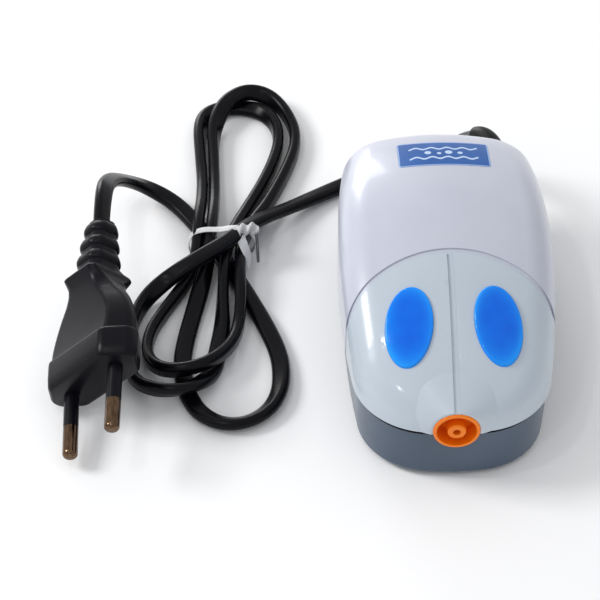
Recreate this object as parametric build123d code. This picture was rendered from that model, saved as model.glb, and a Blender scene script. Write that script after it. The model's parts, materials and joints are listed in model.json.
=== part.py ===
"""Aquarium air pump with a mouse-shaped casing, its mains lead, twist-tied cord and two-pin plug.

Frame: millimetres, +Z up, the air outlet (the nose) towards -Y, origin on the surface that the pump
stands on, under the middle of the casing. Each named sub-part is written to parts/NODE.step.
"""
from build123d import *
import os
from math import pi, radians, sqrt, tan

os.makedirs("parts", exist_ok=True)

# ---- driving dimensions -------------------------------------------------------------------------
LENGTH = 98.0
WIDTH = 56.0
HEIGHT = 44.0
WALL = 2.0
SEAM_Z = 18.3
BASE_Z = 1.2
SEAM_GAP = 0.3

# plan outline: four shallow arcs joined by rounded corners
SIDE_R = 260.0
SIDE_MID_Y = 4.0
FRONT_R = 60.0
REAR_R = 150.0
FRONT_CORNER_R = 20.0
REAR_CORNER_R = 13.0

# dome: the side profile is two arcs that meet at the apex, turned about a lengthways axis
APEX_Y = 8.0
FRONT_CROWN_R = 90.0
REAR_CROWN_R = 85.0
CROWN_AXIS_Z = -40.0
SHOULDER_R = 10.0

# base tub
BASE_TOP_INSET = 0.9
BASE_FOOT_INSET = 1.6
REBATE_Z = 16.6
REBATE_INSET = 2.3
FLOOR_TOP_Z = BASE_Z + WALL
POST_R = 3.4
SCREW_R = 1.4
CLEAR_R = 1.7
POSTS = [(-21.0, 27.0), (21.0, 27.0), (-18.0, -32.0), (18.0, -32.0)]
FEET = [(-18.0, 15.0), (18.0, 15.0), (-18.0, -20.0), (18.0, -20.0)]
FOOT_R = 4.0
FOOT_STEM_R = 1.8
FILTER_XY = (13.0, -4.0)
FILTER_R = 7.0

# trim on the cover
GROOVE_DEPTH = 0.45
ARC_GROOVE_R = 34.0
ARC_GROOVE_Y = -7.8
ARC_GROOVE_W = 1.5
SPINE_W = 1.7
EYE_X = 11.3
EYE_Y = -27.9
EYE_HALF_W = 6.1
EYE_HALF_L = 9.9
EYE_TILT = 6.0
EYE_POCKET = 0.8
EYE_PROUD = 0.7
EYE_EDGE_R = 0.5
LABEL_W = 24.4
LABEL_X = 0.9
LABEL_Y = (25.0, 38.2)
LABEL_DEPTH = 0.25

# nose outlet
NOSE_Z = 19.5
NOSE_R = 6.0
NOSE_WALL = 0.9
NOSE_FRONT_Y = -49.6
NOSE_BACK_Y = -42.5
CUP_DEPTH = 5.4
# distance along the casing, half width and half height
SNOUT_SECTIONS = [(-49.2, 6.8, 6.7), (-46.5, 12.5, 7.9), (-42.0, 18.5, 9.9), (-36.0, 24.0, 12.4)]
NIPPLE_R = 2.4
NIPPLE_BORE_R = 1.0

# mains lead where it enters the casing
BOOT_X = 17.0
BOOT_Z = 21.5
BOOT_ROOT_R = 3.6
CORD_R = 1.9
CLAMP_Y = 41.2
CLAMP_SCREW_X = (14.2, 19.8)

# vibrating mechanism
MID_Z = 15.0
PIVOT_Y = -17.5
PIN_R = 1.5
ARM_HALF_W = 2.5
ARM_HALF_H = 4.0
POLE_Y = 18.0
AIR_GAP = 1.2
CORE_HALF_W = 14.0
CORE_BACK_Y = 38.0
CORE_HALF_H = 5.0
SHEETS = 10
LEG_HALF_W = 3.5
OUTER_LEG_W = 5.0
SPINE_DEPTH = 6.0
CORE_SCREW_X = (-11.0, 11.0)
CORE_SCREW_Y = 35.0
BOBBIN_Y = (POLE_Y + 0.6, CORE_BACK_Y - SPINE_DEPTH - 0.1)
FLANGE_T = 1.0

# pump chamber, built up along X from the diaphragm plane
PUMP_Y = -4.0
DIAPHRAGM_X = -10.5
DIAPHRAGM_T = 1.0
CHAMBER_R = 8.5
CHAMBER_DEPTH = 3.5
BODY_DEPTH = 5.5
GASKET_T = 0.5
PLENUM_DEPTH = 6.7
BLOCK = 22.0
PORT_R = 1.5
PORT_DZ = 4.5

CENTRED = (Align.CENTER, Align.CENTER, Align.CENTER)
ON_FLOOR = (Align.CENTER, Align.CENTER, Align.MIN)


# ---- helpers ------------------------------------------------------------------------------------
def span(x, y, z):
    """A box from its low and high value on each axis."""
    size = [pair[1] - pair[0] for pair in (x, y, z)]
    middle = [(pair[0] + pair[1]) / 2 for pair in (x, y, z)]
    return Pos(*middle) * Box(*size, align=CENTRED)


def rod(radius, low, high, x, y):
    """An upright cylinder between two heights."""
    return Pos(x, y, low) * Cylinder(radius, high - low, align=ON_FLOOR)


def rod_x(radius, low, high, y, z):
    """A cylinder lying along X."""
    return Pos(low, y, z) * Rot(0, 90, 0) * Cylinder(radius, high - low, align=ON_FLOOR)


def rod_y(radius, low, high, x, z):
    """A cylinder lying along Y."""
    return Pos(x, low, z) * Rot(-90, 0, 0) * Cylinder(radius, high - low, align=ON_FLOOR)


def joined(shapes):
    """The union of a list of shapes."""
    whole = shapes[0]
    for shape in shapes[1:]:
        whole = whole + shape
    return whole


def write(name, shape):
    """Write one sub-part as parts/NAME.step."""
    shape.label = name
    export_step(shape, f"parts/{name}.step")


# ---- casing envelope ----------------------------------------------------------------------------
def outline(inset):
    """Plan outline of the casing, moved inwards by inset."""
    half_w = WIDTH / 2 - inset
    half_l = LENGTH / 2 - inset
    side_r, front_r, rear_r = SIDE_R - inset, FRONT_R - inset, REAR_R - inset
    left = Pos(side_r - half_w, SIDE_MID_Y) * Circle(side_r)
    right = Pos(half_w - side_r, SIDE_MID_Y) * Circle(side_r)
    front = Pos(0, front_r - half_l) * Circle(front_r)
    front += Pos(0, front_r - half_l + LENGTH) * Rectangle(2 * LENGTH, 2 * LENGTH)
    rear = Pos(0, half_l - rear_r) * Circle(rear_r)
    rear += Pos(0, half_l - rear_r - LENGTH) * Rectangle(2 * LENGTH, 2 * LENGTH)
    face = left & right & front & rear
    front_corners = [v for v in face.vertices() if v.Y < 0]
    face = fillet(front_corners, FRONT_CORNER_R - inset)
    rear_corners = [v for v in face.vertices() if v.Y > LENGTH / 4]
    return fillet(rear_corners, REAR_CORNER_R - inset)


def crown_z(y, inset):
    """Height of the ridge of the dome at a place along its length."""
    radius = FRONT_CROWN_R if y < APEX_Y else REAR_CROWN_R
    return HEIGHT - radius + sqrt((radius - inset) ** 2 - (y - APEX_Y) ** 2)


def dome(inset):
    """The turned solid whose surface is the top of the casing."""
    reach = LENGTH / 2 + 6
    ends = (-reach, reach)
    ridge = [Vector(0, y, crown_z(y, inset)) for y in (ends[0], (ends[0] + APEX_Y) / 2, APEX_Y)]
    ridge += [Vector(0, y, crown_z(y, inset)) for y in ((ends[1] + APEX_Y) / 2, ends[1])]
    axis_ends = [Vector(0, y, CROWN_AXIS_Z) for y in ends]
    edges = [
        Edge.make_three_point_arc(*ridge[:3]),
        Edge.make_three_point_arc(*ridge[2:]),
        Edge.make_line(ridge[4], axis_ends[1]),
        Edge.make_line(axis_ends[1], axis_ends[0]),
        Edge.make_line(axis_ends[0], ridge[0]),
    ]
    return revolve(Face(Wire(edges)), Axis((0, 0, CROWN_AXIS_Z), (0, 1, 0)), 360)


def is_shoulder(edge):
    """True for the edges where the dome meets the upright wall."""
    start, end, middle = edge @ 0, edge @ 1, edge @ 0.5
    upright = abs(start.X - end.X) < 1e-3 and abs(start.Y - end.Y) < 1e-3
    across_the_top = abs(middle.X) < 5 and abs(middle.Y - APEX_Y) < 1
    return middle.Z > 5 and not upright and not across_the_top


def envelope(inset):
    """The casing's outer form, from z = 0 to the dome, moved inwards by inset."""
    body = extrude(outline(inset), 2 * HEIGHT) & dome(inset)
    return fillet([e for e in body.edges() if is_shoulder(e)], SHOULDER_R - inset)


OUTER = envelope(0)
INNER = envelope(WALL)
ABOVE_SEAM = span((-LENGTH, LENGTH), (-LENGTH, LENGTH), (SEAM_Z, 2 * HEIGHT))


def snout(inset):
    """The stretch of cover that tapers out to the nose, moved inwards by inset."""
    sections = []
    for y, half_w, half_h in SNOUT_SECTIONS:
        upright = Plane(origin=(0, y, NOSE_Z), x_dir=(1, 0, 0), z_dir=(0, -1, 0))
        sections.append(upright * Ellipse(half_w - inset, half_h - inset))
    return loft(sections) & ABOVE_SEAM


def cover_form(inset):
    """The cover's outer form with its snout, moved inwards by inset."""
    return (envelope(inset) & ABOVE_SEAM) + snout(inset)


# ---- trim outlines ------------------------------------------------------------------------------
def eye_column(side, grow=0.0):
    """Upright elliptical column through one eye; side is -1 or 1."""
    ellipse = Ellipse(EYE_HALF_W + grow, EYE_HALF_L + grow)
    placed = Pos(side * EYE_X, EYE_Y) * Rot(0, 0, side * EYE_TILT) * ellipse
    return extrude(placed, 2 * HEIGHT)


def label_column(grow=0.0):
    """Upright column through the label, which has rounded corners."""
    depth = LABEL_Y[1] - LABEL_Y[0]
    shape = RectangleRounded(LABEL_W + 2 * grow, depth + 2 * grow, 1.0 + grow)
    return extrude(Pos(LABEL_X, (LABEL_Y[0] + LABEL_Y[1]) / 2) * shape, 2 * HEIGHT)


def groove_columns():
    """Columns through the arc across the top and the channel down the nose."""
    centre_y = ARC_GROOVE_Y - ARC_GROOVE_R
    half = ARC_GROOVE_W / 2
    ring = Circle(ARC_GROOVE_R + half) - Circle(ARC_GROOVE_R - half)
    front_edge_y = ARC_GROOVE_Y - 13
    arc = extrude(Pos(0, centre_y) * ring, 2 * HEIGHT)
    arc &= span((-LENGTH, LENGTH), (front_edge_y, LENGTH), (0, 2 * HEIGHT))
    channel = span((-SPINE_W / 2, SPINE_W / 2), (-LENGTH, ARC_GROOVE_Y), (SEAM_Z, 2 * HEIGHT))
    return arc + channel


# ---- casing -------------------------------------------------------------------------------------
def boot_collar(radius, low, high):
    """The lead's collar in the rear wall: round above, square below to the seam."""
    upper = rod_y(radius, low, high, BOOT_X, BOOT_Z)
    return upper + span((BOOT_X - radius, BOOT_X + radius), (low, high), (SEAM_Z, BOOT_Z))


def cover_boss(x, y):
    """A screw boss hanging from the dome, with a blind hole for the case screw."""
    boss = rod(POST_R, SEAM_Z, HEIGHT, x, y) & envelope(WALL - 0.6)
    return boss - rod(SCREW_R, SEAM_Z - 1, SEAM_Z + 9, x, y)


def top_cover():
    """The pale dome with its grooves, pockets, bosses and the notches for the nose and the lead."""
    shell = cover_form(0) - INNER
    shell -= groove_columns() & (cover_form(0) - cover_form(GROOVE_DEPTH))
    pocket_layer = OUTER - envelope(EYE_POCKET)
    for side in (-1, 1):
        shell -= eye_column(side, 0.05) & pocket_layer
    shell -= label_column(0.05) & (OUTER - envelope(LABEL_DEPTH))
    shell -= rod_y(NOSE_R + 0.05, -LENGTH, NOSE_BACK_Y + 1, 0, NOSE_Z)
    shell -= boot_collar(BOOT_ROOT_R + 0.05, 40, LENGTH)
    for x, y in POSTS:
        shell += cover_boss(x, y)
    return shell


def base_post(x, y):
    """A hollow post: the case screw goes up through it from below."""
    return rod(POST_R, BASE_Z + 0.5, SEAM_Z - 0.1, x, y)


def base_tub():
    """The slate-coloured tub: floor, wall with a shadow line under the cover, posts and pads."""
    foot = Pos(0, 0, BASE_Z) * outline(BASE_FOOT_INSET)
    rim = Pos(0, 0, SEAM_Z - SEAM_GAP) * outline(BASE_TOP_INSET)
    tub = loft([foot, rim], ruled=True)
    tub = fillet(tub.edges().group_by(Axis.Z)[0], 1.2)
    above_rebate = Pos(0, 0, REBATE_Z) * outline(0)
    tub -= extrude(above_rebate - Pos(0, 0, REBATE_Z) * outline(REBATE_INSET), SEAM_Z)
    tub -= extrude(Pos(0, 0, FLOOR_TOP_Z) * outline(BASE_FOOT_INSET + WALL), 2 * SEAM_Z)
    tub += joined([base_post(x, y) for x, y in POSTS])
    tub += span((-CORE_HALF_W, CORE_HALF_W), (33, CORE_BACK_Y), (FLOOR_TOP_Z - 0.5, MID_Z - CORE_HALF_H))
    tub += span((13, 21), (39.2, 43.2), (FLOOR_TOP_Z - 0.5, SEAM_Z - SEAM_GAP))
    tub += rod(9.0, FLOOR_TOP_Z - 0.5, FLOOR_TOP_Z + 2.5, *FILTER_XY)
    tub += span((-22, -12), (PUMP_Y - 9, PUMP_Y + 9), (FLOOR_TOP_Z - 0.5, MID_Z - BLOCK / 2))
    for x, y in POSTS:
        tub -= rod(CLEAR_R, 0, SEAM_Z + 1, x, y)
        tub -= rod(2.8, 0, SEAM_Z - 7, x, y)
    for x, y in FEET:
        tub -= rod(FOOT_STEM_R, 0, FLOOR_TOP_Z + 1, x, y)
    for x in CORE_SCREW_X:
        tub -= rod(SCREW_R, FLOOR_TOP_Z + 1, MID_Z, x, CORE_SCREW_Y)
    for x in CLAMP_SCREW_X:
        tub -= rod(0.9, SEAM_Z - 6, SEAM_Z + 1, x, CLAMP_Y)
    tub -= rod(FILTER_R, FLOOR_TOP_Z - 1, FLOOR_TOP_Z + 4, *FILTER_XY)
    tub -= rod(FILTER_R + 1, 0, BASE_Z + 1.0, *FILTER_XY)
    tub -= rod(FILTER_R - 1, 0, FLOOR_TOP_Z + 4, *FILTER_XY)
    tub -= rod_y(NOSE_R + 0.05, -LENGTH, NOSE_BACK_Y + 1, 0, NOSE_Z)
    return tub


def eye_insert(side):
    """A domed oval insert that follows the cover's surface."""
    insert = eye_column(side) & (envelope(-EYE_PROUD) - envelope(EYE_POCKET))
    crown = insert.faces().sort_by(Axis.Z)[-1]
    return fillet(crown.edges(), EYE_EDGE_R)


def label_plate():
    """A thin plain plate that sits flush in the cover's recess."""
    return label_column() & (envelope(-0.1) - envelope(LABEL_DEPTH))


def case_screws():
    """Four screws that hold the cover, driven up from below."""
    screws = []
    for x, y in POSTS:
        shank = rod(SCREW_R, SEAM_Z - 7, SEAM_Z + 8, x, y)
        head = rod(2.6, SEAM_Z - 9, SEAM_Z - 7, x, y)
        recess = span((x - 1.6, x + 1.6), (y - 0.35, y + 0.35), (SEAM_Z - 9.5, SEAM_Z - 8))
        screws.append(shank + head - recess)
    return Compound(children=screws)


def rubber_feet():
    """Four soft feet, each with a stem pushed into the floor of the tub."""
    feet = []
    for x, y in FEET:
        pad = rod(FOOT_R, 0, BASE_Z, x, y)
        pad = fillet(pad.edges().group_by(Axis.Z)[0], 0.4)
        feet.append(pad + rod(FOOT_STEM_R, BASE_Z, FLOOR_TOP_Z + 0.6, x, y))
    return Compound(children=feet)


# ---- air intake ---------------------------------------------------------------------------------
def intake_filter():
    """A felt disc that cleans the incoming air."""
    return rod(FILTER_R - 0.1, FLOOR_TOP_Z - 1 + 0.01, FLOOR_TOP_Z + 2.2, *FILTER_XY)


def filter_grille():
    """The slotted disc that holds the felt from below."""
    x, y = FILTER_XY
    grille = rod(FILTER_R + 0.9, BASE_Z + 0.05, BASE_Z + 0.95, x, y)
    for slot in (-4, -2, 0, 2, 4):
        grille -= span((x - 4, x + 4), (y + slot - 0.5, y + slot + 0.5), (0, SEAM_Z))
    return grille


# ---- nose outlet --------------------------------------------------------------------------------
def nose_outlet():
    """The orange cup with the hose nipple in its middle and a stem inside for the inner hose."""
    barrel = rod_y(NOSE_R, NOSE_FRONT_Y, NOSE_BACK_Y, 0, NOSE_Z)
    rim = barrel.edges().filter_by(GeomType.CIRCLE).group_by(Axis.Y)[0]
    barrel = fillet(rim, NOSE_WALL / 2)
    cup = barrel - rod_y(NOSE_R - NOSE_WALL, NOSE_FRONT_Y - 1, NOSE_FRONT_Y + CUP_DEPTH, 0, NOSE_Z)
    nipple = rod_y(NIPPLE_R, NOSE_FRONT_Y - 0.2, NOSE_FRONT_Y + CUP_DEPTH + 0.2, 0, NOSE_Z)
    tip = nipple.edges().filter_by(GeomType.CIRCLE).group_by(Axis.Y)[0]
    stem = rod_y(NIPPLE_R, NOSE_BACK_Y - 1, NOSE_BACK_Y + 5, 0, NOSE_Z)
    bore = rod_y(NIPPLE_BORE_R, NOSE_FRONT_Y - 2, NOSE_BACK_Y + 6, 0, NOSE_Z)
    return cup + fillet(tip, 0.5) + stem - bore


# ---- electromagnet ------------------------------------------------------------------------------
def core_laminations():
    """A stack of E-shaped steel sheets with its legs towards the magnets."""
    pitch = 2 * CORE_HALF_H / SHEETS
    sheets = []
    for index in range(SHEETS):
        low = MID_Z - CORE_HALF_H + index * pitch
        band = (low, low + pitch - 0.04)
        sheet = span((-CORE_HALF_W, CORE_HALF_W), (POLE_Y, CORE_BACK_Y), band)
        for side in (-1, 1):
            window = sorted((side * LEG_HALF_W, side * (CORE_HALF_W - OUTER_LEG_W)))
            sheet -= span(window, (POLE_Y - 1, CORE_BACK_Y - SPINE_DEPTH), band)
        for x in CORE_SCREW_X:
            sheet -= rod(CLEAR_R, 0, HEIGHT, x, CORE_SCREW_Y)
        sheets.append(sheet)
    return Compound(children=sheets)


def coil_bobbin():
    """The plastic former around the middle leg, with two terminal pegs."""
    tube = span((-LEG_HALF_W - 0.9, LEG_HALF_W + 0.9), BOBBIN_Y, (MID_Z - 6, MID_Z + 6))
    flanges = []
    for low in (BOBBIN_Y[0], BOBBIN_Y[1] - FLANGE_T):
        flanges.append(span((-8.8, 8.8), (low, low + FLANGE_T), (MID_Z - 9.5, MID_Z + 9.5)))
    pegs = [rod(0.8, MID_Z + 9, MID_Z + 12, x, BOBBIN_Y[1] - FLANGE_T / 2) for x in (-5, 5)]
    opening = span((-LEG_HALF_W - 0.05, LEG_HALF_W + 0.05), (0, LENGTH), (MID_Z - 5.1, MID_Z + 5.1))
    return joined([tube] + flanges) - opening + joined(pegs)


def coil_winding():
    """The copper winding as one rounded block on the bobbin."""
    low, high = BOBBIN_Y[0] + FLANGE_T, BOBBIN_Y[1] - FLANGE_T
    block = span((-8.4, 8.4), (low, high), (MID_Z - 9, MID_Z + 9))
    block = fillet(block.edges().filter_by(Axis.Y), 3.0)
    return block - span((-LEG_HALF_W - 0.9, LEG_HALF_W + 0.9), (0, LENGTH), (MID_Z - 6, MID_Z + 6))


def core_screws():
    """Two screws through the back of the stack into the tub's pads."""
    screws = []
    for x in CORE_SCREW_X:
        shank = rod(SCREW_R, FLOOR_TOP_Z + 2, MID_Z + CORE_HALF_H, x, CORE_SCREW_Y)
        head = rod(2.7, MID_Z + CORE_HALF_H, MID_Z + CORE_HALF_H + 1.8, x, CORE_SCREW_Y)
        head = fillet(head.edges().group_by(Axis.Z)[-1], 0.6)
        screws.append(shank + head)
    return Compound(children=screws)


# ---- swinging arm -------------------------------------------------------------------------------
MAGNET_Y = (POLE_Y - AIR_GAP - 3.0, POLE_Y - AIR_GAP)
YOKE_Y = (MAGNET_Y[0] - 1.6, MAGNET_Y[0])


def swing_arm():
    """The plastic lever: hub on the pin, a boss for the diaphragm screw, a head for the yoke."""
    bar = span((-ARM_HALF_W, ARM_HALF_W), (PIVOT_Y, YOKE_Y[0]), (MID_Z - ARM_HALF_H, MID_Z + ARM_HALF_H))
    hub = rod(4.5, MID_Z - 6, MID_Z + 6, 0, PIVOT_Y)
    boss = rod_x(3.4, -4.6, 0, PUMP_Y, MID_Z)
    head = span((-7, 7), (YOKE_Y[0] - 2, YOKE_Y[0]), (MID_Z - 5, MID_Z + 5))
    arm = joined([bar, hub, boss, head])
    arm -= rod(PIN_R + 0.05, 0, HEIGHT, 0, PIVOT_Y)
    return arm - rod_x(PIN_R, -6, 1, PUMP_Y, MID_Z)


def magnet_yoke():
    """The steel plate that closes the magnets' circuit."""
    return span((-9, 9), YOKE_Y, (MID_Z - 5.5, MID_Z + 5.5))


def arm_magnets():
    """Two block magnets that face the poles."""
    blocks = [span(x, MAGNET_Y, (MID_Z - 5, MID_Z + 5)) for x in ((-8.2, -0.6), (0.6, 8.2))]
    return Compound(children=blocks)


def pivot_bracket():
    """The bracket on the floor of the tub that holds the pin at both ends."""
    web = span((-6, 6), (PIVOT_Y - 7, PIVOT_Y - 5.2), (FLOOR_TOP_Z, MID_Z + 8.5))
    foot = span((-6, 6), (PIVOT_Y - 7, PIVOT_Y + 4), (FLOOR_TOP_Z, FLOOR_TOP_Z + 2))
    roof = span((-6, 6), (PIVOT_Y - 7, PIVOT_Y + 4), (MID_Z + 6.5, MID_Z + 8.5))
    return joined([web, foot, roof]) - rod(PIN_R, FLOOR_TOP_Z + 0.8, HEIGHT, 0, PIVOT_Y)


def arm_pivot_pin():
    """The steel pin that the arm swings on."""
    return rod(PIN_R, FLOOR_TOP_Z + 0.8, MID_Z + 9.2, 0, PIVOT_Y)


# ---- diaphragm pump -----------------------------------------------------------------------------
BODY_X = (DIAPHRAGM_X - BODY_DEPTH, DIAPHRAGM_X)
PLATE_FACE_X = DIAPHRAGM_X - CHAMBER_DEPTH
GASKET_X = (BODY_X[0] - GASKET_T, BODY_X[0])
PLENUM_X = (GASKET_X[0] - PLENUM_DEPTH, GASKET_X[0])
RING_X = (DIAPHRAGM_X + DIAPHRAGM_T, DIAPHRAGM_X + DIAPHRAGM_T + 1.5)
BLOCK_Y = (PUMP_Y - BLOCK / 2, PUMP_Y + BLOCK / 2)
BLOCK_Z = (MID_Z - BLOCK / 2, MID_Z + BLOCK / 2)
BLOCK_SCREWS = [(PUMP_Y + a, MID_Z + b) for a in (-9, 9) for b in (-9, 9)]
FLAP_T = 0.5
FLAP_R = 2.6
SPIGOT_X = (PLENUM_X[0] + PLENUM_X[1]) / 2
SPIGOT_Z = MID_Z - 5.2
HOSE_R = 3.1


def without_screw_holes(block, radius):
    """The block less the four lengthways screw holes at its corners."""
    for y, z in BLOCK_SCREWS:
        block -= rod_x(radius, -30, 0, y, z)
    return block


def valve_body():
    """The chamber behind the diaphragm and the plate with the two ports."""
    block = span(BODY_X, BLOCK_Y, BLOCK_Z)
    block -= rod_x(CHAMBER_R, PLATE_FACE_X, DIAPHRAGM_X + 1, PUMP_Y, MID_Z)
    for side in (-1, 1):
        block -= rod_x(PORT_R, BODY_X[0] - 1, DIAPHRAGM_X, PUMP_Y, MID_Z + side * PORT_DZ)
    return without_screw_holes(block, 1.1)


def valve_gasket():
    """The rubber gasket between the valve body and the plenum box."""
    sheet = span(GASKET_X, BLOCK_Y, BLOCK_Z)
    return without_screw_holes(sheet - plenum_pockets(GASKET_X), 1.1)


def plenum_pockets(x):
    """The two air spaces beside each other: intake above, delivery below."""
    y = (BLOCK_Y[0] + 3.4, BLOCK_Y[1] - 3.4)
    upper = span(x, y, (MID_Z + 0.7, BLOCK_Z[1] - 2.6))
    return upper + span(x, y, (BLOCK_Z[0] + 2.6, MID_Z - 0.7))


def plenum_box():
    """The box with the intake slot on top and the hose spigot at the front."""
    box = span(PLENUM_X, BLOCK_Y, BLOCK_Z)
    box -= plenum_pockets((PLENUM_X[0] + 1.2, PLENUM_X[1] + 0.1))
    box -= span((PLENUM_X[0] + 2.4, PLENUM_X[1] - 1.6), (PUMP_Y - 4, PUMP_Y + 4), (MID_Z + 5, HEIGHT))
    box += rod_y(NIPPLE_R, BLOCK_Y[0] - 4, BLOCK_Y[0] + 0.5, SPIGOT_X, SPIGOT_Z)
    box -= rod_y(NIPPLE_BORE_R, BLOCK_Y[0] - 7, PUMP_Y, SPIGOT_X, SPIGOT_Z)
    return without_screw_holes(box, 1.1)


def diaphragm():
    """The rubber disc with one raised roll, its edge clamped and its middle on the arm."""
    disc = rod_x(10.4, DIAPHRAGM_X, RING_X[0], PUMP_Y, MID_Z)
    roll = rod_x(7.2, RING_X[0], RING_X[0] + 0.7, PUMP_Y, MID_Z)
    roll -= rod_x(5.4, RING_X[0], RING_X[0] + 0.7, PUMP_Y, MID_Z)
    disc += roll
    disc -= rod_x(PIN_R, DIAPHRAGM_X - 1, RING_X[1], PUMP_Y, MID_Z)
    return without_screw_holes(disc, 1.1)


def diaphragm_ring():
    """The square ring that clamps the diaphragm's edge."""
    ring = span(RING_X, BLOCK_Y, BLOCK_Z) - rod_x(CHAMBER_R, RING_X[0] - 1, RING_X[1] + 1, PUMP_Y, MID_Z)
    return without_screw_holes(ring, 1.1)


def diaphragm_washers():
    """The two washers that grip the middle of the diaphragm."""
    pair = []
    for low in (DIAPHRAGM_X - 0.8, RING_X[0]):
        pair.append(rod_x(3.0, low, low + 0.8, PUMP_Y, MID_Z) - rod_x(PIN_R, low, low + 0.8, PUMP_Y, MID_Z))
    return Compound(children=pair)


def diaphragm_screw():
    """The screw that ties the diaphragm to the arm, with a spacer sleeve against the washer."""
    head_x = DIAPHRAGM_X - 0.8
    screw = rod_x(PIN_R, head_x, -1.2, PUMP_Y, MID_Z) + rod_x(2.2, head_x - 0.8, head_x, PUMP_Y, MID_Z)
    return screw + rod_x(2.4, RING_X[0] + 0.8, -4.6, PUMP_Y, MID_Z)


def block_screws():
    """Four screws that hold the pump stack together."""
    screws = []
    for y, z in BLOCK_SCREWS:
        shank = rod_x(1.0, PLENUM_X[0] + 1, RING_X[1], y, z)
        screws.append(shank + rod_x(1.9, RING_X[1], RING_X[1] + 1.2, y, z))
    return Compound(children=screws)


def flap(face_x, side, port_z, hinge_z):
    """A rubber flap valve over one port: a disc and a tab out to its hinge line."""
    x = sorted((face_x + side * 0.03, face_x + side * (0.03 + FLAP_T)))
    tab_z = sorted((port_z, hinge_z))
    return rod_x(FLAP_R, *x, PUMP_Y, port_z) + span(x, (PUMP_Y - 1.6, PUMP_Y + 1.6), tab_z)


def inlet_flap():
    """Opens into the chamber, hinged near the middle of the plate."""
    return flap(PLATE_FACE_X, 1, MID_Z + PORT_DZ, MID_Z + 1.2)


def outlet_flap():
    """Opens into the lower plenum, hinged near the middle of the plate."""
    return flap(BODY_X[0], -1, MID_Z - PORT_DZ, MID_Z - 1.2)


def hose_path():
    """From the plenum's spigot round to the stem behind the nose."""
    points = [
        (SPIGOT_X, BLOCK_Y[0] - 0.2, SPIGOT_Z),
        (SPIGOT_X, BLOCK_Y[0] - 8, SPIGOT_Z),
        (-10.0, -28.4, 15.0),
        (0.0, -31.0, NOSE_Z),
        (0.0, NOSE_BACK_Y + 0.1, NOSE_Z),
    ]
    return FilletPolyline(*reversed(points), radius=[4.0, 5.0, 6.0])


def outlet_hose():
    """The soft inner hose, pushed over the spigot and the stem."""
    path = hose_path()
    start = Plane(origin=path @ 0, z_dir=path % 0)
    return sweep(start * Circle(HOSE_R), path=path) - sweep(start * Circle(NIPPLE_R), path=path)


# ---- mains lead inside the casing ---------------------------------------------------------------
def cord_clamp():
    """The saddle that holds the lead down on its pillar."""
    saddle = span((13, 20.8), (39.4, 42.6), (SEAM_Z - 0.2, BOOT_Z + 3.4))
    saddle = fillet(saddle.edges().filter_by(Axis.Y).group_by(Axis.Z)[-1], 1.2)
    saddle -= rod_y(CORD_R, 30, 50, BOOT_X, BOOT_Z)
    for x in CLAMP_SCREW_X:
        saddle -= rod(0.9, 0, HEIGHT, x, CLAMP_Y)
    return saddle


def clamp_screws():
    """Two small screws through the saddle."""
    screws = []
    for x in CLAMP_SCREW_X:
        shank = rod(0.85, SEAM_Z - 5, BOOT_Z + 3.4, x, CLAMP_Y)
        screws.append(shank + rod(1.1, BOOT_Z + 3.4, BOOT_Z + 4.4, x, CLAMP_Y))
    return Compound(children=screws)


def cord_inside():
    """The jacket of the lead inside the casing, cut back past the clamp."""
    return rod_y(CORD_R, 36.0, 44.0, BOOT_X, BOOT_Z)


WIRE_ROUTES = {
    "brown": [(16.1, 35.9, 21.5), (16.1, 32.5, 21.5), (11.5, 30.0, 25.0), (6.9, 30.4, 26.2)],
    "blue": [
        (17.9, 35.9, 21.5),
        (17.9, 31.0, 21.5),
        (14.0, 25.0, 28.0),
        (2.0, 24.5, 29.0),
        (-5.0, 28.0, 27.8),
    ],
}


def wire_path(points):
    """A wire's path: straight runs joined by small arcs."""
    return FilletPolyline(*points, radius=[1.2] * (len(points) - 2))


def coil_leads():
    """The two insulated wires from the lead to the coil's terminals."""
    wires = []
    for points in WIRE_ROUTES.values():
        path = wire_path(points)
        wires.append(sweep(Plane(origin=path @ 0, z_dir=path % 0) * Circle(0.75), path=path))
    return Compound(children=wires)


# ---- strain relief, cord and plug ---------------------------------------------------------------
BOOT_WALL_Y = 49.0
BOOT_END = (12.8, 61.2, 19.95)
BOOT_END_WAY = (-0.62, 0.52, -0.58)
BOOT_RINGS = ((0, 3.6), (0.35, 3.4), (0.7, 3.1), (1, 2.8))


def boot_path():
    """Straight out of the rear wall, then bent to the left and down."""
    start = (BOOT_X, BOOT_WALL_Y, BOOT_Z)
    return Edge.make_spline([start, BOOT_END], tangents=[(0, 1, 0), BOOT_END_WAY])


def cord_boot():
    """The black tapered strain relief, with a collar in the wall and a flange inside it."""
    path = boot_path()
    rings = []
    for place, radius in BOOT_RINGS:
        rings.append(Plane(origin=path @ place, z_dir=path % place) * Circle(radius))
    taper = sweep(rings, path=path, multisection=True)
    collar = boot_collar(BOOT_ROOT_R, 45.6, BOOT_WALL_Y)
    flange = rod_y(4.6, 43.9, 45.6, BOOT_X, BOOT_Z)
    flange &= span((0, 40), (40, 50), (SEAM_Z, HEIGHT))
    boot = taper + collar + flange
    boot -= (OUTER - INNER) - boot_collar(BOOT_ROOT_R, 40, LENGTH)
    boot -= rod_y(CORD_R, 40, 44.0, BOOT_X, BOOT_Z)
    return boot.solids().sort_by(SortBy.VOLUME)[-1]


def route_radii(points):
    """An arc for each corner, as large as its two runs allow."""
    points = [Vector(*p) for p in points]
    radii = []
    for before, corner, after in zip(points, points[1:], points[2:]):
        incoming, outgoing = corner - before, after - corner
        turn = radians(incoming.get_angle(outgoing))
        radii.append(0.45 * min(incoming.length, outgoing.length) / tan(turn / 2))
    return radii


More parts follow.
